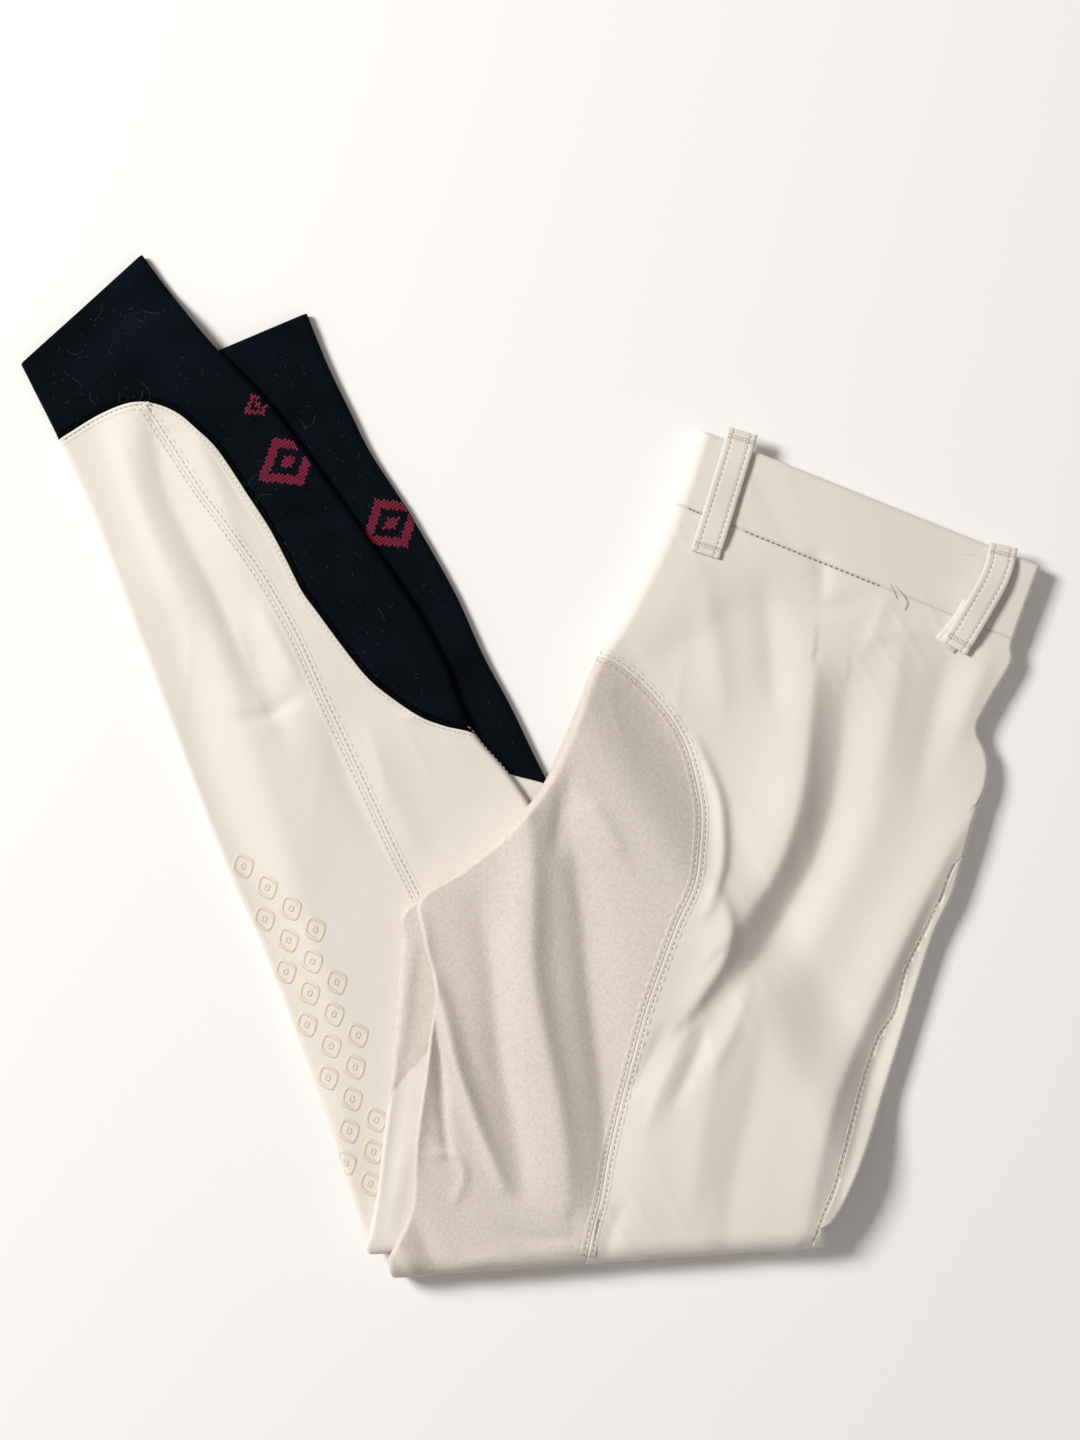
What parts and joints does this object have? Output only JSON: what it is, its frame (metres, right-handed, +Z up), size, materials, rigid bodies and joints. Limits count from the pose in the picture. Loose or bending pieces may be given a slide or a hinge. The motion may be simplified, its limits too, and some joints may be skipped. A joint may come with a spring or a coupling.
{
  "type": "riding breeches",
  "caption": "Full-seat riding breeches folded in half and then across the thighs, lying flat, with knit ankle cuffs and belt loops.",
  "frame": {"origin": "middle of the object's lowest plane, the surface that it lies on", "axes": "+Z up from the surface, the waist towards +X +Y, the ankles towards -X +Y, the fold across the thighs towards -Y"},
  "size_m": [0.538, 0.539, 0.0264],
  "materials": {
    "stretch_cloth": "smooth matt cream four-way stretch cloth with a soft brushed face",
    "grip_leather": "fine pebbled matt synthetic grip leather, greyish beige",
    "elastic_knit": "matt dark navy elastic knit with fine lint and knitted red accents"
  },
  "bodies": {
    "root": {"seat_patch_right": "grip_leather", "back_panel_right": "stretch_cloth", "front_panel_right": "stretch_cloth", "seat_patch_left": "grip_leather", "waistband": "stretch_cloth", "belt_loop_back": "stretch_cloth", "belt_loop_side": "stretch_cloth", "calf_inner_left": "stretch_cloth", "calf_outer_left": "stretch_cloth", "front_panel_left": "stretch_cloth", "calf_right": "stretch_cloth", "knit_cuff_left": "elastic_knit", "knit_cuff_right": "elastic_knit", "band_back_left": "stretch_cloth", "band_front_left": "stretch_cloth", "band_front_right": "stretch_cloth", "hidden_thigh_layers": "stretch_cloth", "hidden_fold_layers": "stretch_cloth"}
  },
  "joints": []
}
